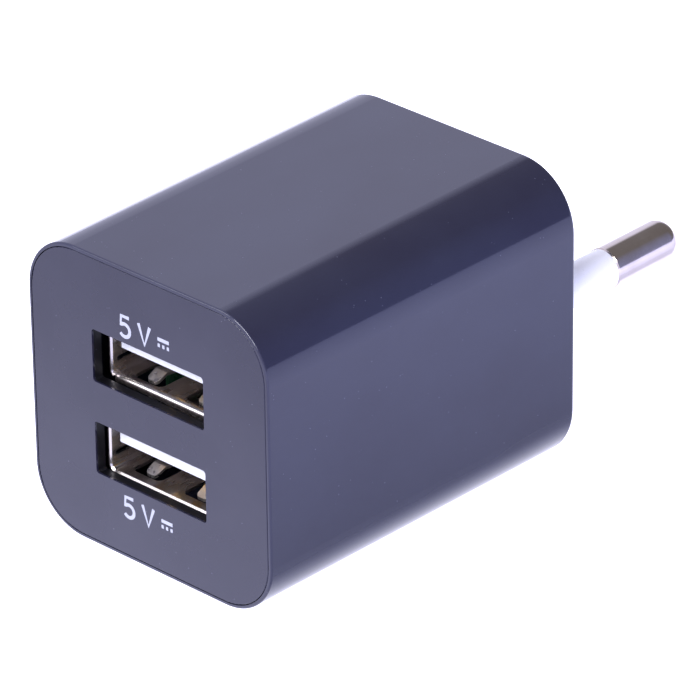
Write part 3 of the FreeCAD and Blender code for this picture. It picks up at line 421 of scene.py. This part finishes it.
def grey_resistor(name):
    """Lacquered resistor with coloured bands round it, stacked along Z."""
    look = Look(name)
    low, high = (corner.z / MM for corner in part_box("fusible_resistor"))
    body = look.mixed(look.noise(1.0, 4.0), rgb(0.30, 0.31, 0.32), rgb(0.20, 0.21, 0.22))
    step = (high - low) / (len(BAND_COLOURS) + 2)
    for number, colour in enumerate(BAND_COLOURS):
        start = low + step * (number + BAND_START)
        band = look.between(look.along("Z"), start, start + step * BAND_WIDTH)
        body = look.mixed(band, body, colour)
    skin = look.noise(0.25, 3.0)
    rough = look.stretched(skin, 0.3, 0.5)
    return look.finish(Base_Color=body, Roughness=rough, Normal=look.bumped(skin, 0.008),
                       Coat_Weight=0.3, Coat_Roughness=0.25)


def yellow_tape(name):
    """Polyester tape wound round the coil: a lap line each turn, slight wrinkles."""
    look = Look(name)
    laps = look.ranged(look.waves(3.1, "Z", 0.4), 0.0, 0.12, 0.5, 0.0)
    wrinkles = look.noise((3.0, 3.0, 0.35), 4.0)
    tone = look.mixed(look.stretched(wrinkles), rgb(0.72, 0.50, 0.06), rgb(0.55, 0.36, 0.03))
    colour = look.mixed(laps, tone, rgb(0.30, 0.18, 0.02))
    rough = look.stretched(wrinkles, 0.15, 0.32)
    normal = look.bumped(wrinkles, 0.03, look.bumped(laps, 0.03))
    return look.finish(Base_Color=colour, Roughness=rough, Normal=normal,
                       Coat_Weight=0.5, Coat_Roughness=0.1)


def green_laminate(name):
    """Glass-fibre board: weave under green solder mask, with paler tracks showing through."""
    look = Look(name)
    weave = look.maths("MULTIPLY", look.waves(0.35, "X"), look.waves(0.35, "Y"))
    mask = look.mixed(look.ranged(weave, 0.2, 0.8, 0.0, 0.5),
                      rgb(0.02, 0.08, 0.04), rgb(0.03, 0.11, 0.06))
    tracks = look.ranged(look.noise((2.6, 2.6, 2.6), 0.0), 0.50, 0.515)
    colour = look.mixed(tracks, mask, rgb(0.05, 0.18, 0.09))
    dust = look.noise(0.8, 5.0)
    rough = look.stretched(dust, 0.22, 0.38)
    normal = look.bumped(weave, 0.004, look.bumped(tracks, 0.03))
    return look.finish(Base_Color=colour, Roughness=rough, Normal=normal,
                       Coat_Weight=0.4, Coat_Roughness=0.15)


# The bare top blends in over the last CAN_RIM_LOW to CAN_RIM_HIGH below the can's upper end.
CAN_RIM_LOW, CAN_RIM_HIGH = 0.12, 0.04
STRIPE_HALF = 0.9
STRIPE_REACH = 9.0
SCORE_HALF = 0.08
SCORE_EDGE = 0.04
TOP_METAL_SHARE = 0.85


def can(name, nodes, sleeve, sleeve_dark, stripe):
    """Shrink-sleeved capacitor: bare metal top with a scored line, pale stripe down one side."""
    look = Look(name)
    high = max(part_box(node)[1].z for node in nodes) / MM
    centres = [(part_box(node)[0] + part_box(node)[1]) / 2 for node in nodes]
    skin = look.noise(0.9, 4.0)
    body = look.mixed(look.stretched(skin), sleeve, sleeve_dark)
    top = look.ranged(look.along("Z"), high - CAN_RIM_LOW, high - CAN_RIM_HIGH)
    for centre in centres:
        x = centre.x / MM
        y = centre.y / MM
        beside = look.between(look.along("X"), x - STRIPE_HALF, x + STRIPE_HALF)
        near = look.between(look.along("Y"), y - STRIPE_REACH, y)
        side = look.maths("MULTIPLY", beside, look.maths("SUBTRACT", 1.0, top))
        body = look.mixed(look.maths("MULTIPLY", side, near), body, stripe)
        score = look.between(look.along("X"), x - SCORE_HALF, x + SCORE_HALF, SCORE_EDGE)
        body = look.mixed(look.maths("MULTIPLY", score, top), body, rgb(0.25, 0.25, 0.26))
    brushed = look.mixed(look.noise((0.1, 2.0, 2.0), 2.0),
                         rgb(0.72, 0.72, 0.74), rgb(0.52, 0.52, 0.54))
    colour = look.mixed(look.maths("MULTIPLY", top, TOP_METAL_SHARE), body, brushed)
    rough = look.stretched(skin, 0.24, 0.4)
    return look.finish(Base_Color=colour, Roughness=rough, Metallic=top,
                       Normal=look.bumped(skin, 0.008))


def brown_can(name):
    nodes = ("rear_mains_capacitor", "front_mains_capacitor")
    return can(name, nodes, sleeve=rgb(0.16, 0.07, 0.03), sleeve_dark=rgb(0.11, 0.05, 0.02),
               stripe=rgb(0.62, 0.50, 0.30))


def black_can(name):
    nodes = ("left_output_capacitor", "right_output_capacitor")
    return can(name, nodes, sleeve=rgb(0.018, 0.018, 0.022),
               sleeve_dark=rgb(0.010, 0.010, 0.012), stripe=rgb(0.55, 0.55, 0.58))


FINISHES = (
    gloss_black_housing, gloss_black_plate, nickel_pin, white_sleeve, nickel_steel_shell,
    white_insulator, gilt_contact, brass_blade, green_laminate, solder, ferrite, black_former,
    yellow_tape, tinned_wire, blue_ceramic, grey_resistor, green_choke, clear_sheet, brown_can,
    black_can, black_epoxy, chip_resistor_body, chip_ceramic,
)


# These nodes have the shell's slot in the record, but are brighter than it in the photo.
BRIGHT_NODES = ("upper_port_spring_tabs", "lower_port_spring_tabs")


def paint_nodes():
    """Gives every CAD node the finish of its record slot, or of a tab."""
    finishes = {make.__name__: make(make.__name__) for make in FINISHES}
    tab = spring_tab("spring_tab")
    for name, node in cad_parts.items():
        for slot in node.material_slots:
            slot.material = tab if name in BRIGHT_NODES else finishes[slot.material.name]


# ---- voltage signs beside the ports ---------------------------------------------------

STROKE = 0.36
MARK_HEIGHT = 1.95
MARK_ADVANCE = 2.3
MARK_SIGNS = ("5", "V", "direct current")
INK_THICKNESS = 0.03
INK_VOXEL = 0.035
STROKE_ROUNDNESS = 6
ARC_STEPS = 14
# The lower left corner of each mark on the front plate, as x and z.
UPPER_MARK_CORNER = (-3.2, 7.8)
LOWER_MARK_CORNER = (-3.4, -10.2)


def arc_points(centre, radius, start, end):
    """Points on a circle, from the start angle to the end angle in degrees."""
    points = []
    for step in range(ARC_STEPS + 1):
        angle = math.radians(start + (end - start) * step / ARC_STEPS)
        points.append((centre[0] + radius * math.cos(angle), centre[1] + radius * math.sin(angle)))
    return points


# Each sign is a list of strokes in a box 1 high, from its lower left corner.
SIGNS = {
    "5": [[(0.60, 1.0), (0.10, 1.0), (0.06, 0.56)] + arc_points((0.30, 0.32), 0.32, 125, -145)],
    "V": [[(0.0, 1.0), (0.35, 0.0), (0.70, 1.0)]],
    "direct current": [
        [(0.0, 0.64), (0.70, 0.64)],
        [(0.0, 0.34), (0.14, 0.34)],
        [(0.28, 0.34), (0.42, 0.34)],
        [(0.56, 0.34), (0.70, 0.34)],
    ],
}


def make_stroke(points, origin):
    """A round-ended line of ink along points, as a curve object."""
    curve = bpy.data.curves.new("stroke", "CURVE")
    curve.dimensions = "3D"
    curve.bevel_depth = STROKE / 2 * MM
    curve.bevel_resolution = STROKE_ROUNDNESS
    curve.use_fill_caps = True
    spline = curve.splines.new("POLY")
    spline.points.add(len(points) - 1)
    for point, (across, up) in zip(spline.points, points):
        x = origin[0] + across * MARK_HEIGHT
        z = origin[1] + up * MARK_HEIGHT
        point.co = (x * MM, 0.0, z * MM, 1.0)
    stroke = bpy.data.objects.new("stroke", curve)
    bpy.context.scene.collection.objects.link(stroke)
    return stroke


def make_mark(name, left, base):
    """Signs side by side on the front plate, melted into one thin raised film of ink."""
    strokes = []
    for number, sign in enumerate(MARK_SIGNS):
        for points in SIGNS[sign]:
            strokes.append(make_stroke(points, (left + number * MARK_ADVANCE, base)))
    bpy.ops.object.select_all(action="DESELECT")
    for stroke in strokes:
        stroke.select_set(True)
    bpy.context.view_layer.objects.active = strokes[0]
    bpy.ops.object.convert(target="MESH")
    bpy.ops.object.join()
    mark = bpy.context.view_layer.objects.active
    remesh = mark.modifiers.new("union", "REMESH")
    remesh.mode = "VOXEL"
    remesh.voxel_size = INK_VOXEL * MM
    bpy.ops.object.modifier_apply(modifier=remesh.name)
    flatten = Matrix.Diagonal((1.0, INK_THICKNESS / STROKE, 1.0, 1.0))
    lift = Matrix.Translation((0.0, FRONT - INK_THICKNESS / 4 * MM, 0.0))
    mark.data.transform(lift @ flatten)
    for face in mark.data.polygons:
        face.use_smooth = True
    mark.name = name
    mark.data.name = name
    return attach(mark, "charger")


def white_ink(name):
    """Pad-printed ink: thin spots and a slightly ragged gloss."""
    look = Look(name)
    thin = look.ranged(look.noise(0.35, 4.0), 0.62, 0.8, 0.0, 0.3)
    tone = look.mixed(look.noise(1.5, 3.0), rgb(0.23, 0.24, 0.29), rgb(0.21, 0.22, 0.27))
    colour = look.mixed(thin, tone, rgb(0.20, 0.20, 0.26))
    skin = look.noise(0.12, 2.0)
    rough = look.stretched(skin, 0.35, 0.55)
    return look.finish(Base_Color=colour, Roughness=rough, Normal=look.bumped(skin, 0.003))


def make_marks():
    ink = white_ink("white_ink")
    upper = make_mark("upper_voltage_mark", *UPPER_MARK_CORNER)
    lower = make_mark("lower_voltage_mark", *LOWER_MARK_CORNER)
    for mark in (upper, lower):
        mark.data.materials.append(ink)


# ---- studio ---------------------------------------------------------------------------

AZIMUTH, ELEVATION, ROLL = (math.radians(angle) for angle in (43.5817, 28.2148, -0.7583))
DISTANCE = 529.4 * MM
SHIFT_RIGHT = -4.0282 * MM
SHIFT_UP = 0.2936 * MM
LENS = 307.6069
SENSOR = 36.0

CLIP_NEAR, CLIP_FAR = 0.01, 20.0

FLOOR_HALF = 4.0
FLOOR_SEGMENTS = 24
# The floor beside the charger starts a little inside its wall and is full past it.
BESIDE_START, BESIDE_FULL = -1.0, 3.0
FRONT_GLOW_FAR, FRONT_GLOW_NEAR = 0.62, 1.55
SIDE_GLOW_NEAR, SIDE_GLOW_FAR = 0.60, 1.45
GLOW_REACH = 38.0
DAYLIGHT = rgb(0.98, 0.98, 1.27)
WORLD_STRENGTH = 1.42
GLOOM_LEFT = rgb(0.22, 0.21, 0.23)
GLOOM_MIDDLE = rgb(0.20, 0.19, 0.20)
GLOOM_RIGHT = rgb(0.30, 0.33, 0.60)
GLOOM_SPAN = (-0.4, 0.8)
GLOOM_MIDDLE_PLACE = 0.65
GLOOM_DIRECTION = Vector((0.45, 0.62, 0.64)).normalized()
GLOOM_EDGE = 0.46
GLOOM_CORE = 0.62


def make_floor():
    """A wide pale table top that glows: most in front of the charger, and bluer beside it."""
    mesh = bpy.data.meshes.new("floor")
    grid = bmesh.new()
    bmesh.ops.create_grid(grid, x_segments=FLOOR_SEGMENTS,
                          y_segments=FLOOR_SEGMENTS, size=FLOOR_HALF)
    grid.to_mesh(mesh)
    grid.free()
    floor = bpy.data.objects.new("floor", mesh)
    floor.location = (0.0, BODY_CENTRE.y, housing_low.z)
    bpy.context.scene.collection.objects.link(floor)
    look = Look("floor")
    cloud = look.noise(60.0, 3.0)
    colour = look.mixed(cloud, rgb(0.50, 0.50, 0.52), rgb(0.46, 0.46, 0.49))
    rough = look.stretched(look.noise(4.0, 3.0), 0.5, 0.65)
    side = housing_high.x / MM
    beside = look.ranged(look.along("X"), side + BESIDE_START, side + BESIDE_FULL)
    front = FRONT_MM - BODY_CENTRE.y / MM
    front_glow = look.ranged(look.along("Y"), front - GLOW_REACH, front,
                             FRONT_GLOW_FAR, FRONT_GLOW_NEAR)
    side_glow = look.ranged(look.along("X"), side, side + GLOW_REACH, SIDE_GLOW_NEAR, SIDE_GLOW_FAR)
    glow = look.maths("ADD", look.maths("MULTIPLY", side_glow, beside),
                      look.maths("MULTIPLY", front_glow, look.maths("SUBTRACT", 1.0, beside)))
    tint = look.mixed(beside, rgb(1.0, 1.0, 1.25), rgb(0.90, 0.95, 1.60))
    look.finish(Base_Color=colour, Roughness=rough, Emission_Color=tint, Emission_Strength=glow,
                Specular_IOR_Level=0.1)
    mesh.materials.append(look.material)


def make_world():
    """Even soft light all round, but for a dark stretch of room up behind the charger."""
    world = bpy.data.worlds.new("studio")
    bpy.context.scene.world = world
    world.use_nodes = True
    tree = world.node_tree
    background = tree.nodes["Background"]
    direction = tree.nodes.new("ShaderNodeTexCoord").outputs["Generated"]
    facing = tree.nodes.new("ShaderNodeVectorMath")
    facing.operation = "DOT_PRODUCT"
    facing.inputs[1].default_value = GLOOM_DIRECTION
    tree.links.new(direction, facing.inputs[0])
    share = tree.nodes.new("ShaderNodeMapRange")
    share.interpolation_type = "SMOOTHSTEP"
    share.inputs["From Min"].default_value = GLOOM_EDGE
    share.inputs["From Max"].default_value = GLOOM_CORE
    tree.links.new(facing.outputs["Value"], share.inputs["Value"])
    parts = tree.nodes.new("ShaderNodeSeparateXYZ")
    tree.links.new(direction, parts.inputs[0])
    across = tree.nodes.new("ShaderNodeMapRange")
    across.inputs["From Min"].default_value = GLOOM_SPAN[0]
    across.inputs["From Max"].default_value = GLOOM_SPAN[1]
    tree.links.new(parts.outputs["X"], across.inputs["Value"])
    gloom = tree.nodes.new("ShaderNodeValToRGB")
    gloom.color_ramp.elements[0].color = GLOOM_LEFT
    gloom.color_ramp.elements[1].color = GLOOM_RIGHT
    gloom.color_ramp.elements.new(GLOOM_MIDDLE_PLACE).color = GLOOM_MIDDLE
    tree.links.new(across.outputs["Result"], gloom.inputs["Fac"])
    mix = tree.nodes.new("ShaderNodeMix")
    mix.data_type = "RGBA"
    mix.inputs[MIX_FIRST].default_value = DAYLIGHT
    tree.links.new(gloom.outputs["Color"], mix.inputs[MIX_SECOND])
    tree.links.new(share.outputs["Result"], mix.inputs[MIX_SHARE])
    tree.links.new(mix.outputs[MIX_RESULT], background.inputs["Color"])
    background.inputs["Strength"].default_value = WORLD_STRENGTH


LIGHT_DISTANCE = 0.60
# Each soft box: name, direction from the charger, width, height, radiance and colour.
LIGHTS = (
    ("key_box", (0.05, -0.75, 0.66), 0.34, 0.16, 26.0, (1.0, 0.99, 1.0)),
    ("fill_box", (-0.50, -0.70, 0.51), 0.20, 0.20, 8.0, (1.0, 0.98, 0.96)),
    ("rim_box", (0.40, -0.76, 0.52), 0.22, 0.12, 24.0, (0.96, 0.96, 1.0)),
)


def make_light(name, direction, width, height, radiance, colour):
    """A soft box that faces the charger. Its radiance is relative to white."""
    light = bpy.data.lights.new(name, "AREA")
    light.shape = "RECTANGLE"
    light.size = width
    light.size_y = height
    light.color = colour
    light.energy = radiance * math.pi * width * height
    box = bpy.data.objects.new(name, light)
    towards = Vector(direction).normalized()
    box.location = BODY_CENTRE + towards * LIGHT_DISTANCE
    box.rotation_mode = "QUATERNION"
    box.rotation_quaternion = (-towards).to_track_quat("-Z", "Y")
    bpy.context.scene.collection.objects.link(box)


def make_camera():
    """A long lens at the photo's angle, with its axes from azimuth, elevation and roll."""
    back = Vector((math.sin(AZIMUTH) * math.cos(ELEVATION),
                   -math.cos(AZIMUTH) * math.cos(ELEVATION),
                   math.sin(ELEVATION)))
    level = Vector((math.cos(AZIMUTH), math.sin(AZIMUTH), 0.0))
    above = back.cross(level)
    right = level * math.cos(ROLL) + above * math.sin(ROLL)
    up = above * math.cos(ROLL) - level * math.sin(ROLL)
    camera = bpy.data.objects.new("camera", bpy.data.cameras.new("camera"))
    camera.data.lens = LENS
    camera.data.sensor_width = SENSOR
    camera.data.clip_start = CLIP_NEAR
    camera.data.clip_end = CLIP_FAR
    place = BODY_CENTRE + back * DISTANCE - right * SHIFT_RIGHT - up * SHIFT_UP
    turn = Matrix((right, up, back)).transposed().to_4x4()
    camera.matrix_world = Matrix.Translation(place) @ turn
    bpy.context.scene.collection.objects.link(camera)
    bpy.context.scene.camera = camera


def make_studio():
    bpy.context.scene.view_settings.view_transform = "Standard"
    make_floor()
    make_world()
    for light in LIGHTS:
        make_light(*light)
    make_camera()


paint_nodes()
make_marks()
make_studio()
